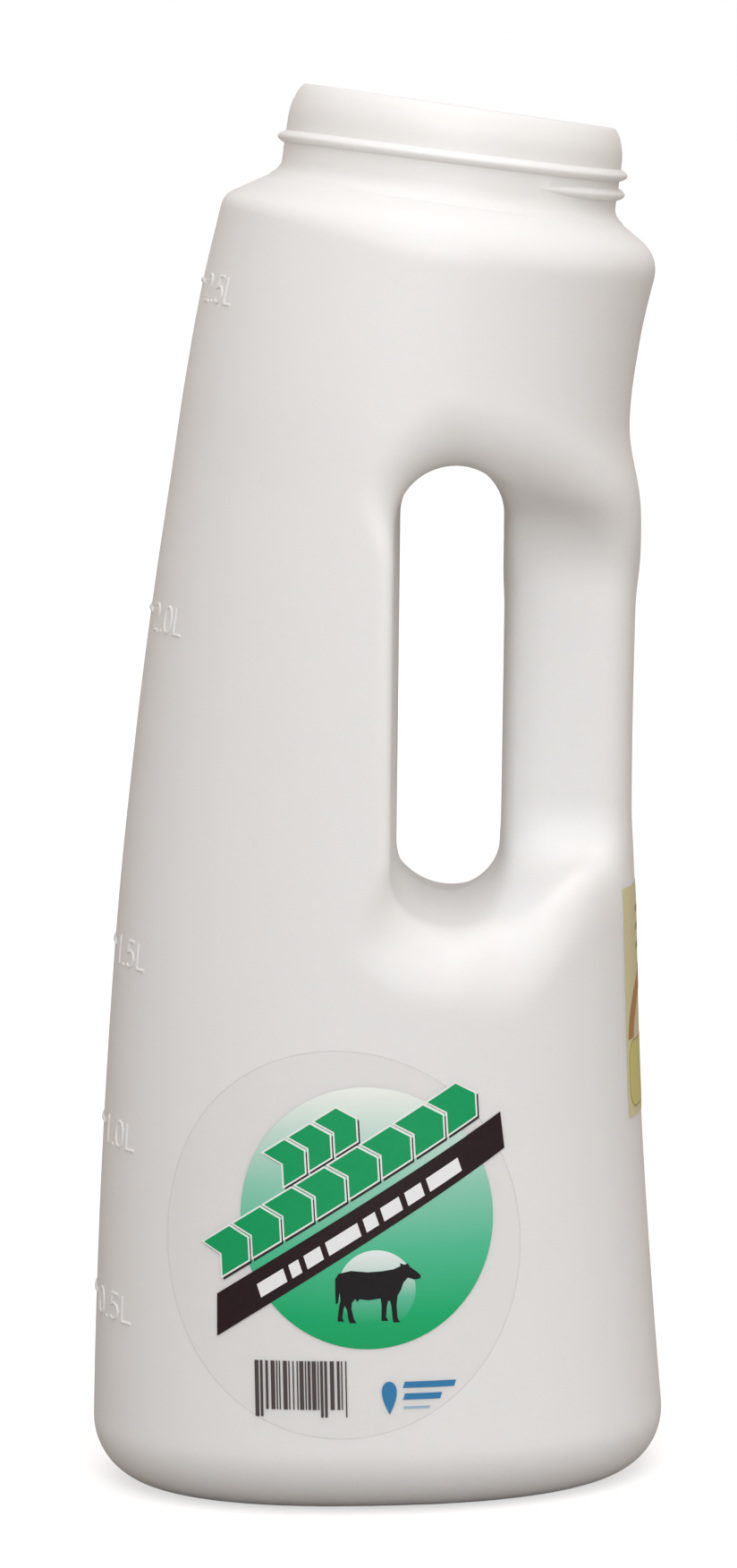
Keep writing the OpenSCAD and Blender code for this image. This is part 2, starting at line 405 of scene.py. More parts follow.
def neck_solid():
    """The neck from inside the shoulder, through the fillet at its root, to the round lip."""
    fillet = [(3.0, -2.0), (2.0, -0.9), (1.1, -0.2), (0.5, 0.6), (0.1, 1.5), (0, 2.6)]
    lip = [(0.02, 9), (0.1, 7.2), (0.3, 5.6), (0.6, 4.3), (0.9, 3.5), (1.25, 2.5), (1.65, 1.65),
           (2.1, 0.9), (2.6, 0.3), (2.95, 0.05), (3.2, 0)]
    return turned([(30, NECK_LEN + 8)] + [(NECK_R + out, NECK_LEN - up) for out, up in fillet]
                  + [(NECK_R, 16), (NECK_R, 12)] + [(NECK_R - drawn, below) for drawn, below in lip])


def bore_solid():
    """The bore, which widens at the lip's inner edge."""
    lip = [(0.08, 0.5), (0.25, 0.15), (0.5, 0.0), (1.0, -0.3), (1.0, -4)]
    return turned([(BORE_R, NECK_LEN + 5), (BORE_R, 12), (BORE_R, 1.0)]
                  + [(BORE_R + out, below) for out, below in lip])


def thread_solid():
    """One right-hand ridge that winds round the neck and fades out at both ends."""
    per_turn, turns, pitch = 144, 1.45, 4.6
    start, lowest, height, sunk, fade = math.radians(288.75), 16.4, 1.8, 0.6, 15
    steps = int(turns * per_turn)
    rings = []
    for i in range(steps + 1):
        angle, below = start + 2 * math.pi * i / per_turn, lowest - pitch * i / per_turn
        grown = float(smooth(min(i, steps - i) / fade))
        half = 0.5 + 1.2 * grown
        ring = []
        for t in np.linspace(-1, 1, 11):
            lift = math.cos(math.pi * t / 2) ** 0.8 if abs(t) < 1 else 0
            ring.append(neck_point(NECK_R - sunk + (sunk + height) * grown * lift
                                   + 0.02 * (1 - grown), below + half * t, angle))
        rings.append(ring)
    return skin(rings)


# ---------------------------------------------------------------- marks on the wall

def normals(points):
    """Unit normals of the body's field at points."""
    h = 0.1
    x, y, z = np.asarray(points, float).T
    slope = np.stack([body_field(x + h, y, z) - body_field(x - h, y, z),
                      body_field(x, y + h, z) - body_field(x, y - h, z),
                      body_field(x, y, z + h) - body_field(x, y, z - h)], 1)
    return slope / np.linalg.norm(slope, axis=1, keepdims=True)


def graduated_end_points(arcs, heights):
    """Points on the graduated end: arcs run round the wall from the parting plane to the front."""
    half_count, row_height = 300, 40.0
    angles = np.linspace(-0.75, 0.75, 2 * half_count + 1) * math.pi
    c, n = np.cos(angles), np.sin(angles)
    points = []
    for arc, height in zip(arcs, heights):
        s = float(np.interp(height, ROWS[1:-1, 1], np.arange(TOP_ROW + 1)))
        for _ in range(4):
            s += (height - float(ends_at(s)[1])) / row_height
        mx, mz, ux, uz, half_x, half_y, power = section_shape(np.array(s))
        u = -half_x * np.sign(c) * np.abs(c) ** (2 / power)
        y = -half_y * np.sign(n) * np.abs(n) ** (2 / power)
        run = np.concatenate([[0], np.cumsum(np.hypot(np.diff(u), np.diff(y)))])
        run -= run[half_count]
        at_u, at_y = np.interp(arc, run, u), np.interp(arc, run, y)
        points.append([mx + at_u * ux, at_y, mz + at_u * uz])
    return np.array(points)


def resampled(points, step, closed=False):
    """Points spaced evenly, about step apart, along a line that keeps its corners."""
    points = [np.array(p, float) for p in points]
    if closed:
        points.append(points[0])
    out = []
    for a, b in zip(points, points[1:]):
        n = max(1, math.ceil(np.linalg.norm(b - a) / step))
        out += [a + (b - a) * i / n for i in range(n)]
    return np.array(out if closed else out + [points[-1]])


def ridge(line, half, height, closed=False):
    """A rounded ridge along a line of points on the wall, sunk a little into it."""
    line = project(np.asarray(line, float), body_field, 1.0, 3)
    up = normals(line)
    if closed:
        back, ahead = np.roll(line, 1, 0), np.roll(line, -1, 0)
    else:
        back, ahead = np.vstack([line[:1], line[:-1]]), np.vstack([line[1:], line[-1:]])
    before, after = line - back, ahead - line
    if not closed:
        before[0], after[-1] = after[0], before[-1]
    before /= np.linalg.norm(before, axis=1, keepdims=True)
    after /= np.linalg.norm(after, axis=1, keepdims=True)
    along = before + after
    along /= np.linalg.norm(along, axis=1, keepdims=True)
    wide = 1 / np.clip((along * after).sum(1), 0.6, 1)
    side = np.cross(along, up)
    profile = [(-1.15, -0.7), (-1.1, 0.0), (-0.85, 0.55), (-0.4, 0.93), (0, 1.0), (0.4, 0.93),
               (0.85, 0.55), (1.1, 0.0), (1.15, -0.7)]
    rings = [[p + across * half * w * a + n * height * b for a, b in profile]
             for p, across, n, w in zip(line, side, up, wide)]
    if not closed:
        return skin(rings)
    points, faces = skin(rings, closed=False)
    n, last = len(profile), (len(rings) - 1) * len(profile)
    faces += [[last + k, last + (k + 1) % n, (k + 1) % n, k] for k in range(n)]
    return points, faces


# Strokes of each glyph in a box one unit high: (closed, points)
GLYPHS = {
    "0": [(True, [(0.26, 1), (0.1, 0.93), (0.02, 0.72), (0, 0.5), (0.02, 0.28), (0.1, 0.07),
                  (0.26, 0), (0.42, 0.07), (0.5, 0.28), (0.52, 0.5), (0.5, 0.72), (0.42, 0.93)])],
    "1": [(False, [(0.06, 0.84), (0.2, 1), (0.2, 0)])],
    "2": [(False, [(0.01, 0.76), (0.06, 0.92), (0.24, 1), (0.44, 0.94), (0.51, 0.76),
                   (0.43, 0.55), (0.2, 0.27), (0, 0), (0.54, 0)])],
    "5": [(False, [(0.5, 1), (0.1, 1), (0.05, 0.56), (0.24, 0.63), (0.43, 0.55), (0.52, 0.33),
                   (0.43, 0.09), (0.22, 0), (0, 0.07)])],
    "L": [(False, [(0, 1), (0, 0), (0.48, 0)])],
    ".": [(False, [(0, 0), (0.08, 0.04)])],
}
WIDTHS = {"0": 0.52, "1": 0.4, "2": 0.54, "5": 0.52, "L": 0.48, ".": 0.08}
GLYPH_GAP = 0.26


def text_strokes(text, start, base, height, wide):
    """(closed, points) of each stroke of a text that starts at (start, base)."""
    strokes, at = [], start
    for glyph in text:
        for closed, points in GLYPHS[glyph]:
            strokes.append((closed, [(at + x * height * wide, base + y * height)
                                     for x, y in points]))
        at += (WIDTHS[glyph] + GLYPH_GAP) * height * wide
    return strokes


LEVELS = {"0.5L": 47.4, "1.0L": 89.2, "1.5L": 132.8, "2.0L": 213.2, "2.5L": 291.6}
# Ticks: half their run, half their width, and how far they stand up. Digits: their height, the
# start of their text, how far its middle is under the tick, half a stroke's width, its height
TICK_RUN, TICK_HALF, TICK_HEIGHT = 9.0, 0.6, 0.5
DIGIT, DIGIT_START, DIGIT_DROP, DIGIT_HALF, DIGIT_HEIGHT = 6.2, 13.0, 1.2, 0.4, 0.3


def graduations():
    """A tick and a number at each level; the numbers get narrower upwards, as the wall does."""
    parts = []
    for text, level in LEVELS.items():
        arcs = np.arange(-TICK_RUN, TICK_RUN + 0.1, 1.0)
        parts.append(ridge(graduated_end_points(arcs, np.full(len(arcs), level)),
                           TICK_HALF, TICK_HEIGHT))
        base, wide = level - DIGIT_DROP - DIGIT / 2, lerp(1.36, 1.08, level / 290)
        for closed, points in text_strokes(text, DIGIT_START, base, DIGIT, wide):
            flat = resampled(points, 0.8, closed)
            line = graduated_end_points(flat[:, 0], flat[:, 1])
            parts.append(ridge(line, DIGIT_HALF, DIGIT_HEIGHT, closed))
    return merged(parts)


# ---------------------------------------------------------------- bottle

def inner_field(x, y, z):
    return body_field(x, y, z, WALL)


def bottle_shell():
    """The shell: the body with its neck, thread and marks, less the inside and the bore."""
    outer_step = 1.3
    inner_step = 2.6
    body = mesh_object("bottle_shell", *field_mesh(body_field, outer_step))
    for part in (neck_solid, thread_solid, graduations):
        combine(body, mesh_object("part", *part()), "UNION")
    inner = mesh_object("inner", *field_mesh(inner_field, inner_step))
    combine(inner, mesh_object("bore", *bore_solid()), "UNION")
    combine(body, inner, "DIFFERENCE")
    return body


# ---------------------------------------------------------------- printed films

def inside(points, loops):
    """Whether each point is inside an odd number of closed loops."""
    result = np.zeros(len(points), bool)
    x, y = points.T
    for loop in loops:
        for (ax, ay), (bx, by) in zip(loop, np.roll(loop, -1, 0)):
            if ay != by:
                crosses = (ay > y) != (by > y)
                result ^= crosses & (x < ax + (y - ay) * (bx - ax) / (by - ay))
    return result


def printed(loops, low, high, to_wall, step=2.5):
    """A thin closed layer over flat loops, laid on the wall between two heights above it."""
    loops = [resampled(loop, step, True) for loop in loops]
    points = np.vstack(loops)
    edges, base = [], 0
    for loop in loops:
        n = len(loop)
        edges += [(base + i, base + (i + 1) % n) for i in range(n)]
        base += n
    low_corner, high_corner = points.min(0), points.max(0)
    grid = np.stack(np.meshgrid(*[np.arange(a + step / 2, b, step)
                                  for a, b in zip(low_corner, high_corner)]), -1).reshape(-1, 2)
    if len(grid):
        near = np.min(np.linalg.norm(grid[:, None] - points[None], axis=2), axis=1)
        grid = grid[inside(grid, loops) & (near > step * 0.45)]
    flat = np.vstack([points, grid]) if len(grid) else points
    made = delaunay_2d_cdt([Vector(p) for p in flat], edges, [], 0, 1e-5)
    flat = np.array([tuple(v) for v in made[0]])
    faces = np.array([f for f in made[2]])
    faces = faces[inside(flat[faces].mean(1), loops)]
    used, faces = np.unique(faces, return_inverse=True)
    faces = faces.reshape(-1, 3)
    flat = flat[used]
    a, b, c = flat[faces[:, 0]], flat[faces[:, 1]], flat[faces[:, 2]]
    turn = (b - a)[:, 0] * (c - a)[:, 1] - (b - a)[:, 1] * (c - a)[:, 0]
    faces[turn < 0] = faces[turn < 0][:, ::-1]
    n = len(flat)
    top, bottom = to_wall(flat, high), to_wall(flat, low)
    found = {(int(f[i]), int(f[(i + 1) % 3])) for f in faces for i in range(3)}
    rim = [(p, q) for p, q in found if (q, p) not in found]
    all_faces = [list(f) for f in faces] + [[i + n for i in f[::-1]] for f in faces]
    all_faces += [[q, p, p + n, q + n] for p, q in sorted(rim)]
    return np.vstack([top, bottom]), all_faces


def half_depth(x, z):
    """How far the wall is from the parting plane at X, Z."""
    mx, mz, ux, uz, half_x, half_y, power = section_shape(section_of(x, z))
    u = (x - mx) * ux + (z - mz) * uz
    return half_y * np.maximum(1 - np.abs(u / half_x) ** power, 0) ** (1 / power)


def front_wall():
    """Lays flat points on the front: arc to the right of X 0 and height."""
    spacing = 5.0
    heights = np.arange(10.0, 126.0, spacing)
    xs = np.linspace(-66, 64, 521)
    runs = []
    for z in heights:
        y = half_depth(xs, np.full_like(xs, z))
        run = np.concatenate([[0], np.cumsum(np.hypot(np.diff(xs), np.diff(y)))])
        runs.append(run - np.interp(0, xs, run))

    def to_wall(flat, lift):
        at = np.clip((flat[:, 1] - heights[0]) / spacing, 0, len(heights) - 1.001)
        row, t = at.astype(int), at % 1
        below = np.array([np.interp(a, runs[r], xs) for a, r in zip(flat[:, 0], row)])
        over = np.array([np.interp(a, runs[r + 1], xs) for a, r in zip(flat[:, 0], row)])
        x, z = lerp(below, over, t), flat[:, 1]
        points = np.stack([x, -half_depth(x, z), z], 1)
        return points + lift * normals(points)
    return to_wall


def grip_end_wall():
    """Lays flat points on the grip end: arc towards +Y from the parting plane, and height."""
    def to_wall(flat, lift):
        points = []
        for arc, z in flat:
            e = ends_at(np.interp(z, ROWS[1:-1, 3], np.arange(TOP_ROW + 1)))
            points.append([float(e[2]) + 0.5, arc * 0.985, z])
        points = project(np.array(points), body_field, 6.0, 6)
        return points + lift * normals(points)
    return to_wall


def oval(x, y, rx, ry, n=120):
    return [(x + rx * math.cos(2 * math.pi * i / n), y + ry * math.sin(2 * math.pi * i / n))
            for i in range(n)]


def strip(start, end, base, thick, lean=0.0):
    """A level strip, whose upper edge is shifted by lean."""
    return [(start, base), (end, base), (end + lean, base + thick), (start + lean, base + thick)]


def rounded(x0, y0, x1, y1, r):
    """A rectangle with round corners."""
    corners = ((x1 - r, y1 - r, 0), (x0 + r, y1 - r, 90), (x0 + r, y0 + r, 180),
               (x1 - r, y0 + r, 270))
    return [(cx + r * math.cos(math.radians(a + t)), cy + r * math.sin(math.radians(a + t)))
            for cx, cy, a in corners for t in range(0, 91, 15)]


# Heights above the wall of the film's underside and top, the thickness of a layer of ink, and
# how far each layer is sunk in the one below
FILM_LOW, FILM_TOP, INK, INK_SUNK = 0.05, 0.12, 0.03, 0.004
# Ovals printed on the front film, and the film itself: middle, and half size along both ways
LABEL = (-8.2, 65.9, 44.1, 46.4)
DISC = (-1.4, 72.3, 30.3, 31.2)
SMALL_DISC = (0.7, 55.3, 9.2, 9.4)
# The dark band, its slope, and the corner that the blocks and dashes are measured from
BAND = [(-38.3, 43.5), (32.1, 87.6), (31.2, 96.3), (-38.1, 53.7)]
BAND_SLOPE, BAND_CORNER = math.radians(31.5), BAND[3]
# Rows of blocks: from and to across the band, from and to along it, and how many
BLOCK_ROWS = (2.9, 12.1, 3.6, 77.2, 8), (13.4, 22.6, 28.6, 50.4, 3)
BLOCK_GAP = 1.3
# Dashes: where they start along the band, their gap, from and to across it, and their lengths
DASH_START, DASH_GAP, DASH_LOW, DASH_HIGH = 10.9, 1.5, -6.2, -3.0
DASHES = 7.6, 2.8, 4.6, 9.0, 3.4, 5.2, 4.6, 9.0
# Bars: where they start and stop, their top, and the feet of the long and of the short ones
BARS_START, BARS_STOP, BARS_TOP, LONG_FOOT, SHORT_FOOT = -28.9, -6.6, 38.3, 24.8, 26.6
CALF_PLACE = (-8.8, 47.2)


def along_band(along, across):
    """A point at distances along the band's slope and across it, upwards."""
    x, y = BAND_CORNER
    return (x + along * math.cos(BAND_SLOPE) - across * math.sin(BAND_SLOPE),
            y + along * math.sin(BAND_SLOPE) + across * math.cos(BAND_SLOPE))


def dash(start, end):
    """A dash in the band, whose ends lean forward."""
    lean = 0.25
    return [along_band(at + lean * across, across) for at, across in
            ((start, DASH_LOW), (end, DASH_LOW), (end, DASH_HIGH), (start, DASH_HIGH))]


def arrow(start, end, low, high):
    """A block with a point at its front and a notch at its back."""
    point, middle = 2.6, (low + high) / 2
    return [along_band(*p) for p in
            ((start, low), (end, low), (end + point, middle), (end, high), (start, high),
             (start + point, middle))]


def grown(loop, by):
    """A loop pushed out by a distance along its edges' normals."""
    loop = np.array(loop)
    ahead = np.roll(loop, -1, 0)
    if (loop[:, 0] * ahead[:, 1] - loop[:, 1] * ahead[:, 0]).sum() < 0:
        loop = loop[::-1]
        ahead = np.roll(loop, -1, 0)
    edge = (ahead - loop) / np.linalg.norm(ahead - loop, axis=1, keepdims=True)
    normal = np.stack([edge[:, 1], -edge[:, 0]], 1)
    before = np.roll(normal, 1, 0)
    miter = (normal + before) / (1 + (normal * before).sum(1, keepdims=True))
    return loop + by * miter


# A standing calf's outline
CALF = [(0.6, 12.0), (3.5, 12.7), (7.5, 12.3), (11.0, 12.5), (13.6, 12.9), (15.2, 13.6),
        (15.1, 14.3), (16.2, 13.9), (17.0, 14.2), (17.4, 13.4), (19.0, 12.2), (20.0, 11.2),
        (19.8, 10.5), (18.4, 10.3), (16.9, 10.8), (15.8, 9.6), (15.2, 7.9), (14.4, 6.6),
        (14.1, 4.2), (14.3, 1.2), (14.9, 0.2), (13.3, 0.2), (13.1, 1.2), (12.9, 4.0),
        (12.6, 5.4), (12.1, 5.3), (11.8, 3.9), (11.6, 1.6), (12.1, 0.6), (10.5, 0.6),
        (10.5, 1.6), (10.6, 4.2), (10.4, 6.0), (7.6, 5.6), (5.4, 5.9), (4.9, 5.2), (4.4, 6.0),
        (3.6, 5.0), (3.5, 3.6), (4.0, 1.2), (4.6, 0.2), (3.0, 0.2), (2.7, 1.2), (2.4, 3.4),
        (1.9, 4.4), (1.5, 3.2), (1.3, 1.4), (1.7, 0.6), (0.2, 0.6), (0.2, 1.4), (0.5, 3.6),
        (0.9, 5.6), (0.75, 7.5), (0.3, 5.0), (-0.2, 4.8), (-0.25, 8.0), (-0.2, 10.8)]


def printed_film(material, outline, step, to_wall):
    """A film's layers, as (material name, points, faces), and a function that prints on it."""
    layers = [(material, *printed([outline], FILM_LOW, FILM_TOP, to_wall, step))]

    def ink(material, loops, level, step=2.5):
        low = FILM_TOP + INK * (level - 1) - INK_SUNK
        layers.append((material, *printed(loops, low, FILM_TOP + INK * level, to_wall, step)))
    return layers, ink


def print_blocks(ink):
    """Two rows of arrow blocks above the band, with a light edge and a shadow, and the dashes."""
    for low, high, start, end, count in BLOCK_ROWS:
        pitch = (end - start) / count
        for i in range(count):
            block = arrow(start + i * pitch, start + (i + 1) * pitch - BLOCK_GAP, low, high)
            ink("block_shade", [grown(block, 0.3) + (0.5, -0.5)], 3, 2.0)
            ink("block_edge", [grown(block, 0.4)], 4, 2.0)
            ink("block_green", [block], 5, 2.0)
    at = DASH_START
    for width in DASHES:
        ink("dash_white", [dash(at, at + width)], 4, 1.5)
        at += width + DASH_GAP


def print_bars(ink):
    """Bars of random widths, with long ones at both ends and in the middle."""
    random = np.random.default_rng(7)
    at, count = BARS_START, 0
    while at < BARS_STOP:
        width = float(random.choice([0.33, 0.33, 0.66, 0.99]))
        long = count in (0, 1, 15, 16) or at > BARS_STOP - 1
        foot = LONG_FOOT if long else SHORT_FOOT
        ink("bar_grey", [strip(at, at + width, foot, BARS_TOP - foot)], 1, 3.0)
        at += width + float(random.choice([0.33, 0.33, 0.66]))
        count += 1


def print_drop_mark(ink):
    """A plain drop and three lines."""
    drop = [(3.2 + 2.4 * math.sin(t) * math.sin(t / 2) ** 1.2, 29.2 - 4.0 * math.cos(t))
            for t in np.linspace(0, 2 * math.pi, 33)[:-1]]
    ink("mark_blue", [drop], 1, 1.5)
    for base, end in ((31.6, 18.6), (28.8, 15.2)):
        ink("mark_blue", [strip(6.4, end, base, 1.5, 0.5)], 1)
    ink("mark_pale", [strip(6.4, 12.6, 26.6, 0.6, 0.2)], 1)


def front_label(to_wall):
    """The clear film in front and what is printed on it."""
    layers, ink = printed_film("film_clear", oval(*LABEL), 2.0, to_wall)
    x, y, rx, ry = LABEL
    ink("film_edge", [oval(x, y, rx, ry), oval(x, y, rx - 0.3, ry - 0.3)], 1)
    ink("disc_green", [oval(*DISC)], 1)
    ink("disc_small", [oval(*SMALL_DISC, 72)], 2, 1.5)
    ink("band_dark", [BAND], 3)
    print_blocks(ink)
    ink("calf_black", [[(x + CALF_PLACE[0], y + CALF_PLACE[1]) for x, y in CALF]], 4, 1.5)
    print_bars(ink)
    print_drop_mark(ink)
    return layers


def side_label(to_wall):
    """The yellow film on the grip end: a panel, an arch over it and three lines."""
    layers, ink = printed_film("film_yellow", rounded(-22.5, 89, 22.5, 144.5, 1.0), 2.5, to_wall)
    ink("panel_edge", [rounded(-21.0, 91.0, 21.0, 107.4, 5.0)], 1, 2.0)
    ink("panel_olive", [rounded(-20.6, 91.4, 20.6, 107.0, 4.6)], 2, 2.0)
    arch = [(21.2 * math.cos(t), 106.0 + 18.0 * math.sin(t)) for t in np.linspace(0.1, 3.04, 31)]
    arch += [(16.2 * math.cos(t), 106.6 + 12.5 * math.sin(t)) for t in np.linspace(3.04, 0.1, 31)]
    ink("arch_brown", [arch], 3, 2.0)
    for base, end in ((137.5, 10.0), (133.0, 10.0), (128.5, 5.0)):
        ink("panel_edge", [strip(-10, end, base, 1.6)], 1, 3.0)
    return layers


# ---------------------------------------------------------------- materials

def node_material(name, roughness, ior=1.5):
    material = bpy.data.materials.new(name)
    material.use_nodes = True
    shader = material.node_tree.nodes["Principled BSDF"]
    shader.inputs["Roughness"].default_value = roughness
    shader.inputs["IOR"].default_value = ior
    return material, material.node_tree.nodes, material.node_tree.links, shader


def hdpe_material():
    """Natural polyethylene: satin, light goes a little way in, and its white varies slightly."""
    material, nodes, links, shader = node_material("hdpe_shell", 0.42)
    shader.inputs["Subsurface Weight"].default_value = 0.5
    shader.inputs["Subsurface Radius"].default_value = (1.0, 0.88, 0.8)
    shader.inputs["Subsurface Scale"].default_value = 0.004
    coords = nodes.new("ShaderNodeTexCoord")
    grain = nodes.new("ShaderNodeTexNoise")
    grain.inputs["Scale"].default_value = 900
    grain.inputs["Detail"].default_value = 3
    cloud = nodes.new("ShaderNodeTexNoise")
    cloud.inputs["Scale"].default_value = 14
    cloud.inputs["Detail"].default_value = 4
    tint = nodes.new("ShaderNodeMix")
    tint.data_type = "RGBA"
    tint.inputs["A"].default_value = (0.80, 0.80, 0.79, 1)
    tint.inputs["B"].default_value = (0.84, 0.84, 0.835, 1)
    bump = nodes.new("ShaderNodeBump")
    bump.inputs["Strength"].default_value = 0.08
    bump.inputs["Distance"].default_value = 0.0002
    links.new(coords.outputs["Object"], grain.inputs["Vector"])
    links.new(coords.outputs["Object"], cloud.inputs["Vector"])
    links.new(cloud.outputs["Fac"], tint.inputs["Factor"])
    links.new(tint.outputs["Result"], shader.inputs["Base Color"])
    links.new(grain.outputs["Fac"], bump.inputs["Height"])
    links.new(bump.outputs["Normal"], shader.inputs["Normal"])
    return material


def ink_material(name, colour, roughness=0.35, alpha=1.0, variation=0.06, gloss=0.25):
    """Printed ink: a colour that a fine noise varies a little."""
    material, nodes, links, shader = node_material(name, roughness)
    shader.inputs["Specular IOR Level"].default_value = gloss
    coords = nodes.new("ShaderNodeTexCoord")
    noise = nodes.new("ShaderNodeTexNoise")
    noise.inputs["Scale"].default_value = 600
    tint = nodes.new("ShaderNodeMix")
    tint.data_type = "RGBA"
    tint.inputs["A"].default_value = (*[c * (1 - variation) for c in colour], 1)
    tint.inputs["B"].default_value = (*[min(1, c * (1 + variation)) for c in colour], 1)
    links.new(coords.outputs["Object"], noise.inputs["Vector"])
    links.new(noise.outputs["Fac"], tint.inputs["Factor"])
    links.new(tint.outputs["Result"], shader.inputs["Base Color"])
    shader.inputs["Alpha"].default_value = alpha
    return material


def gradient_material(name, low, high, stops):
    """Ink whose colour runs through stops from height low to height high, in millimetres."""
    material, nodes, links, shader = node_material(name, 0.35)
    shader.inputs["Specular IOR Level"].default_value = 0.25
    coords = nodes.new("ShaderNodeTexCoord")
    split = nodes.new("ShaderNodeSeparateXYZ")
    level = nodes.new("ShaderNodeMapRange")
    level.inputs["From Min"].default_value = low * MM
    level.inputs["From Max"].default_value = high * MM
    ramp = nodes.new("ShaderNodeValToRGB")
    ramp.color_ramp.elements.remove(ramp.color_ramp.elements[1])
    for i, (at, colour) in enumerate(stops):
        element = ramp.color_ramp.elements[0] if i == 0 else ramp.color_ramp.elements.new(at)
        element.position, element.color = at, (*colour, 1)
    links.new(coords.outputs["Object"], split.inputs["Vector"])
    links.new(split.outputs["Z"], level.inputs["Value"])
    links.new(level.outputs["Result"], ramp.inputs["Fac"])
    links.new(ramp.outputs["Color"], shader.inputs["Base Color"])
    return material


def print_materials():
    return {
        "film_clear": ink_material("film_clear", (0.85, 0.85, 0.84), 0.25, 0.07, gloss=0.5),
        "film_edge": ink_material("film_edge", (0.7, 0.69, 0.68), 0.3, 0.06),
        "disc_green": gradient_material("disc_green", 41, 103.6, [
            (0.0, (0.006, 0.36, 0.12)), (0.13, (0.01, 0.40, 0.15)), (0.38, (0.08, 0.50, 0.29)),
            (0.62, (0.26, 0.60, 0.46)), (0.82, (0.55, 0.73, 0.66)), (1.0, (0.86, 0.90, 0.86))]),
        "disc_small": gradient_material("disc_small", 47.5, 64.7, [
            (0.0, (0.012, 0.39, 0.15)), (0.35, (0.12, 0.50, 0.33)), (0.75, (0.62, 0.75, 0.72)),
            (1.0, (0.80, 0.86, 0.86))]),
        "band_dark": ink_material("band_dark", (0.020, 0.009, 0.011), 0.4, variation=0.2),
        "block_shade": ink_material("block_shade", (0.03, 0.02, 0.024), 0.4, variation=0.2),
        "block_edge": ink_material("block_edge", (0.84, 0.86, 0.84)),
        "block_green": ink_material("block_green", (0.006, 0.33, 0.115)),
        "dash_white": ink_material("dash_white", (0.82, 0.84, 0.86)),
        "calf_black": ink_material("calf_black", (0.009, 0.007, 0.009), 0.4, variation=0.2),
        "bar_grey": ink_material("bar_grey", (0.075, 0.06, 0.06), 0.4),
        "mark_blue": ink_material("mark_blue", (0.035, 0.20, 0.42)),
        "mark_pale": ink_material("mark_pale", (0.33, 0.47, 0.60)),
        "film_yellow": ink_material("film_yellow", (0.66, 0.62, 0.36), 0.3),
        "panel_edge": ink_material("panel_edge", (0.30, 0.27, 0.10)),
        "panel_olive": ink_material("panel_olive", (0.60, 0.56, 0.18)),
        "arch_brown": ink_material("arch_brown", (0.42, 0.20, 0.07)),
    }


# ---------------------------------------------------------------- putting the object together

def smooth_shading(obj):
    """Smooth faces, with sharp edges where they turn by more than 40 degrees."""
    for polygon in obj.data.polygons:
        polygon.use_smooth = True
    obj.data.set_sharp_from_angle(angle=math.radians(40))


def layered_object(name, layers, materials):
    """One mesh of several printed layers, each with its own material."""
    points, faces = merged([(p, f) for _, p, f in layers])
    obj = mesh_object(name, points, faces)
    slots, indices = [], []
    for material, _, layer_faces in layers:
        if material not in slots:
            slots.append(material)
            obj.data.materials.append(materials[material])
        indices += [slots.index(material)] * len(layer_faces)
    obj.data.polygons.foreach_set("material_index", indices)
    smooth_shading(obj)
    return obj


def place(obj, node, slot):
    """Puts a piece in a node's stead, under the root body, and hides the node. The slot is not used.
    """
    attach(obj, "root")
    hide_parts(node)


bottle = bottle_shell()
bottle.data.materials.clear()
bottle.data.materials.append(hdpe_material())
smooth_shading(bottle)
place(bottle, "bottle", "hdpe")
inks = print_materials()
place(layered_object("front_print", front_label(front_wall()), inks), "front_label", "front_film")
place(layered_object("side_print", side_label(grip_end_wall()), inks), "side_label", "side_film")


# ---------------------------------------------------------------- camera, light and floor

def aim(obj, target, roll=0.0):
    """Turns a camera or light at its place towards a target."""
    direction = Vector(target) - obj.location
    turn = direction.to_track_quat("-Z", "Y").to_matrix().to_4x4()
    obj.matrix_world = (Matrix.Translation(obj.location) @ turn
                        @ Matrix.Rotation(roll, 4, "Z"))


# The camera in metres: level with the rim, and aimed at the middle of the bottle's height
CAMERA_PLACE, CAMERA_TARGET = (0, -1.450, 0.33707), (0.001268, 0, 0.1688)
CAMERA_ROLL, CAMERA_LENS = math.radians(-1.174), 138.26


def camera():
    data = bpy.data.cameras.new("camera")
    data.sensor_fit, data.sensor_height, data.lens = "VERTICAL", 36, CAMERA_LENS
    obj = bpy.data.objects.new("camera", data)
    bpy.context.scene.collection.objects.link(obj)
    obj.location = CAMERA_PLACE
    aim(obj, CAMERA_TARGET, CAMERA_ROLL)
    bpy.context.scene.camera = obj


def sun_light(name, azimuth, elevation, spread, power, colour):
    """A soft sun. Azimuth 0 shines from the front, 90 from the grip end."""
    data = bpy.data.lights.new(name, "SUN")
    data.energy, data.color, data.angle = power, colour, math.radians(spread)
    obj = bpy.data.objects.new(name, data)
    bpy.context.scene.collection.objects.link(obj)
    a, e = math.radians(azimuth), math.radians(elevation)
    obj.location = (math.sin(a) * math.cos(e), -math.cos(a) * math.cos(e), math.sin(e))
    aim(obj, (0, 0, 0))


def area_light(name, location, target, size, power, colour):
    """A rectangular softbox."""
    data = bpy.data.lights.new(name, "AREA")
    data.shape, data.size, data.size_y = "RECTANGLE", *size
    data.energy, data.color = power, colour
    obj = bpy.data.objects.new(name, data)
    bpy.context.scene.collection.objects.link(obj)
    obj.location = location
    aim(obj, target)


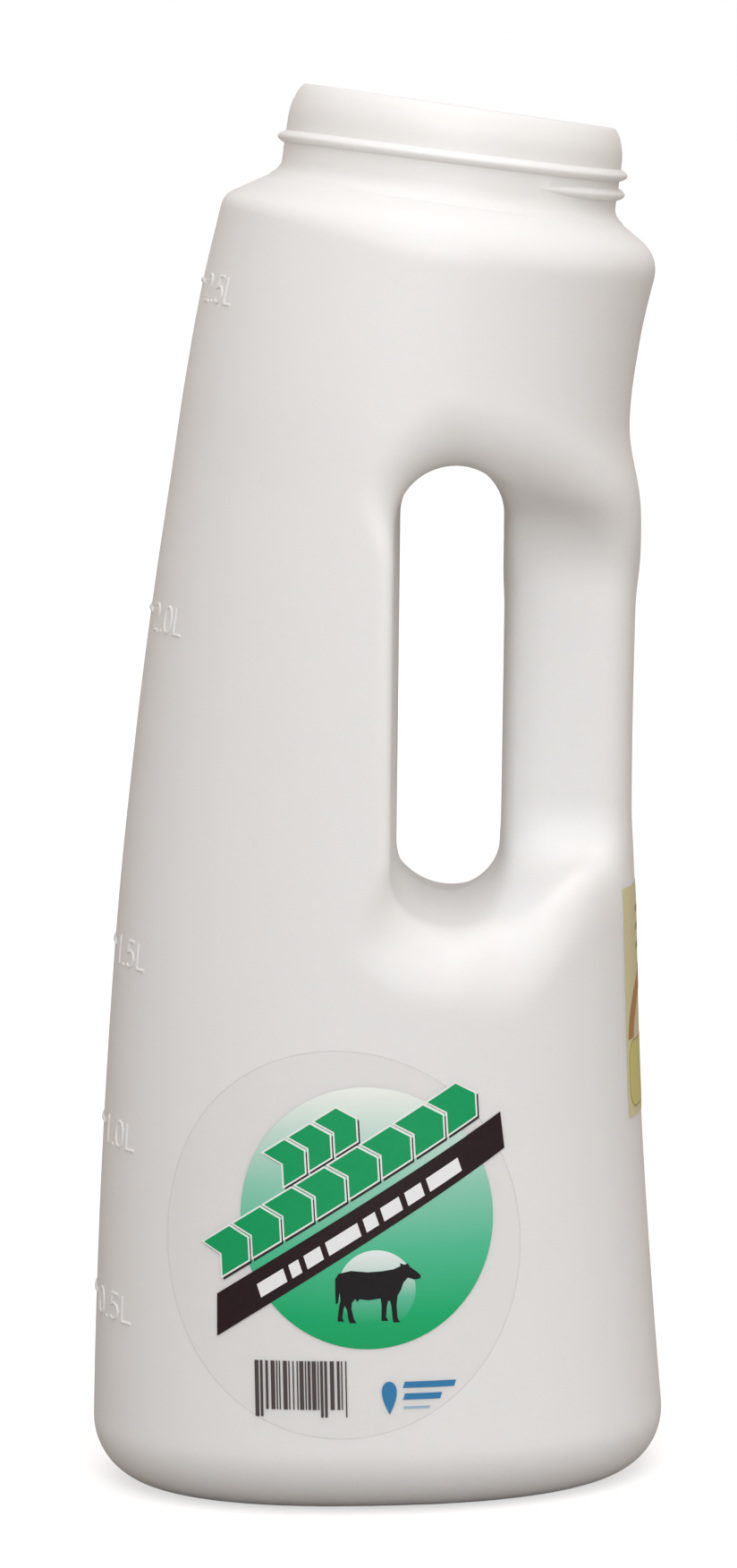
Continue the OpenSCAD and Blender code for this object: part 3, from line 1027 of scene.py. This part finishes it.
def stage():
    """A plain pale floor, which throws back less light than it shows."""
    size = 30.0
    material, nodes, links, shader = node_material("floor", 0.8)
    shader.inputs["Base Color"].default_value = (0.55, 0.55, 0.55, 1)
    shader.inputs["Specular IOR Level"].default_value = 0.0
    shader.inputs["Emission Color"].default_value = (1, 1, 1, 1)
    shader.inputs["Emission Strength"].default_value = 0.6
    dull = nodes.new("ShaderNodeBsdfDiffuse")
    dull.inputs["Color"].default_value = (0.31, 0.28, 0.26, 1)
    path = nodes.new("ShaderNodeLightPath")
    mix = nodes.new("ShaderNodeMixShader")
    links.new(path.outputs["Is Camera Ray"], mix.inputs["Fac"])
    links.new(dull.outputs["BSDF"], mix.inputs[1])
    links.new(shader.outputs["BSDF"], mix.inputs[2])
    links.new(mix.outputs["Shader"], nodes["Material Output"].inputs["Surface"])
    floor = mesh_object("floor", np.array([[-size, -size, 0], [size, -size, 0],
                                           [size, size, 0], [-size, size, 0]]) / MM,
                        [[0, 1, 2, 3]], material)


def world():
    """Soft light from all round, and a white background."""
    scene = bpy.context.scene
    scene.world = bpy.data.worlds.new("studio")
    scene.world.use_nodes = True
    nodes, links = scene.world.node_tree.nodes, scene.world.node_tree.links
    back = nodes["Background"]
    back.inputs["Color"].default_value = (1.0, 0.91, 0.86, 1)
    back.inputs["Strength"].default_value = 0.60
    white = nodes.new("ShaderNodeBackground")
    white.inputs["Color"].default_value = (1, 1, 1, 1)
    path = nodes.new("ShaderNodeLightPath")
    mix = nodes.new("ShaderNodeMixShader")
    links.new(path.outputs["Is Camera Ray"], mix.inputs["Fac"])
    links.new(back.outputs["Background"], mix.inputs[1])
    links.new(white.outputs["Background"], mix.inputs[2])
    links.new(mix.outputs["Shader"], nodes["World Output"].inputs["Surface"])
    scene.view_settings.view_transform = "Standard"


camera()
stage()
world()
sun_light("top", azimuth=10, elevation=72, spread=50, power=0.9, colour=(1.0, 1.0, 1.0))
sun_light("front", azimuth=4, elevation=14, spread=40, power=0.84, colour=(0.92, 0.975, 1.0))
area_light("softbox", location=(-0.1, -0.95, 0.80), target=(0, 0, 0.2), size=(0.8, 0.6),
           power=2.7, colour=(0.96, 0.985, 1.0))
sun_light("right", azimuth=66, elevation=4, spread=60, power=0.42, colour=(1.0, 0.98, 0.96))
